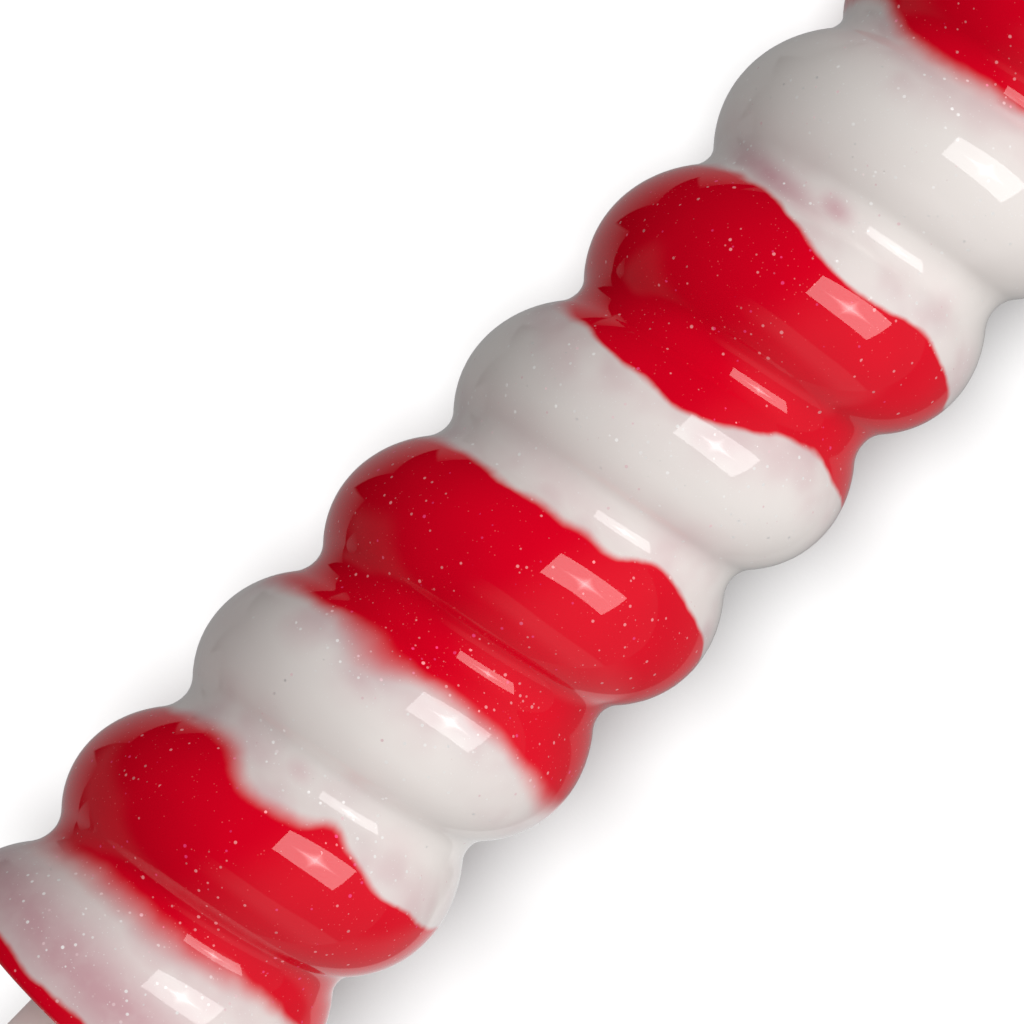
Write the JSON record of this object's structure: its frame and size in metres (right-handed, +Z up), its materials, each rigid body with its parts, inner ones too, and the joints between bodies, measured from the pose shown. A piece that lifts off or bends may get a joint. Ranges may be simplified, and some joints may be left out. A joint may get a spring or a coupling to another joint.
{
  "type": "cheer pom pom",
  "caption": "Stick pom pom for cheering: a cast spiral grip in red and white on a plastic stick, with a round head of fringed red and white film streamers.",
  "frame": {"origin": "on the table, straight below the centre of the streamer head, which is the mouth of the header roll", "axes": "+X from the grip towards the head along the table, +Z up; the stick lies in the XZ plane and rises 4.5 degrees towards the head, as it does when the pom pom lies on a table"},
  "size_m": [0.3918, 0.192, 0.1324],
  "materials": {
    "cast_resin": "poured red and off-white swirl with fine glitter under clear gloss",
    "stick_plastic": "extruded, satin, off-white",
    "white_plastic": "moulded, satin, white",
    "red_plastic": "moulded, satin, red",
    "red_film": "thin creased film, glossy red",
    "white_film": "thin creased film, glossy white",
    "red_tape": "stretched vinyl tape, red",
    "tie_nylon": "natural nylon, slightly translucent"
  },
  "bodies": {
    "root": {"grip": "cast_resin", "stick": "stick_plastic", "stick_plug": "white_plastic", "stop_collar": "white_plastic", "tip_cap": "red_plastic", "red_fringe_1": "red_film", "white_fringe_1": "white_film", "red_fringe_2": "red_film", "white_fringe_2": "white_film", "red_fringe_3": "red_film", "white_fringe_3": "white_film", "red_fringe_4": "red_film", "white_fringe_4": "white_film", "red_fringe_5": "red_film", "white_fringe_5": "white_film", "red_fringe_6": "red_film", "white_fringe_6": "white_film", "binding_tape": "red_tape", "lower_cable_tie": "tie_nylon", "upper_cable_tie": "tie_nylon"}
  },
  "joints": []
}
